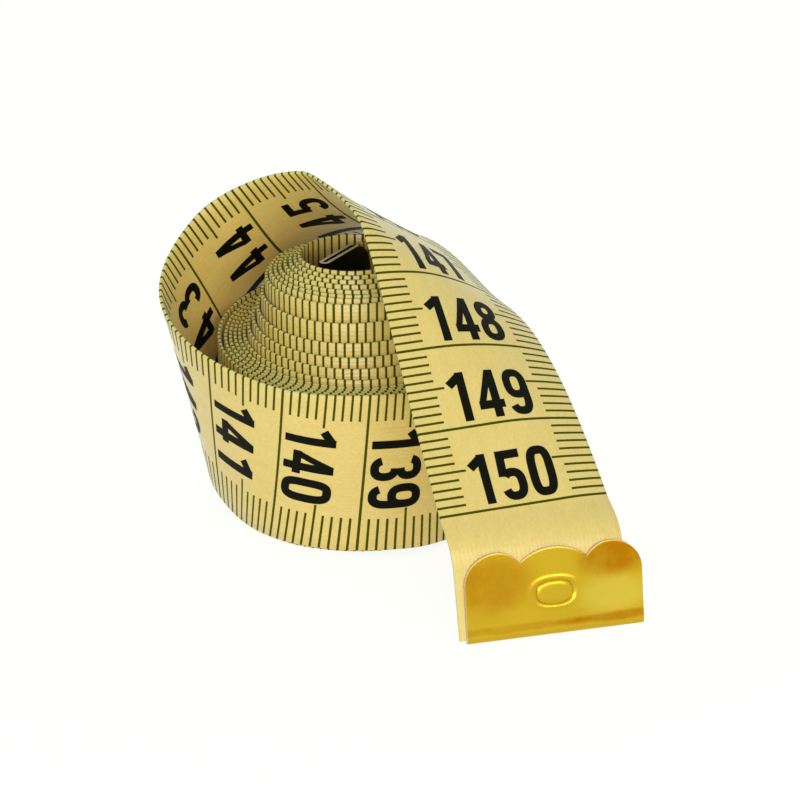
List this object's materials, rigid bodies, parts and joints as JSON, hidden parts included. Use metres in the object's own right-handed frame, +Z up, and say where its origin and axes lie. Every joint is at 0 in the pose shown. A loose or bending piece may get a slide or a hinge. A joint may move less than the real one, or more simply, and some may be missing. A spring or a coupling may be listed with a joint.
{
  "type": "tailor's tape measure",
  "caption": "Yellow cloth tape measure wound in a raised coil standing on its edge, its loose outer turn folded over to a lobed metal end clip.",
  "frame": {"origin": "middle of the underside of the whole wound tape, on the surface it stands on", "axes": "+Z up along the coil's axis, -Y towards the free end with its clip, +X to the right as the tape is seen from the clip's side"},
  "size_m": [0.0558, 0.0582, 0.0411],
  "materials": {
    "tape_cloth": "coated woven cloth, satin",
    "clip_brass": "polished brass plate"
  },
  "bodies": {
    "wound_tape": {"tape_coil": "tape_cloth", "tape_loop": "tape_cloth", "start_clip": "clip_brass"},
    "free_end": {"tape_tail": "tape_cloth", "end_clip": "clip_brass"}
  },
  "joints": [
    {"name": "free_end_lift", "type": "hinge", "parent": "wound_tape", "child": "free_end", "pos_m": [0.0062, 0.0018, 0.03147], "axis": [-0.8212, 0.0687, 0.5665], "range_deg": [0, 40]}
  ]
}
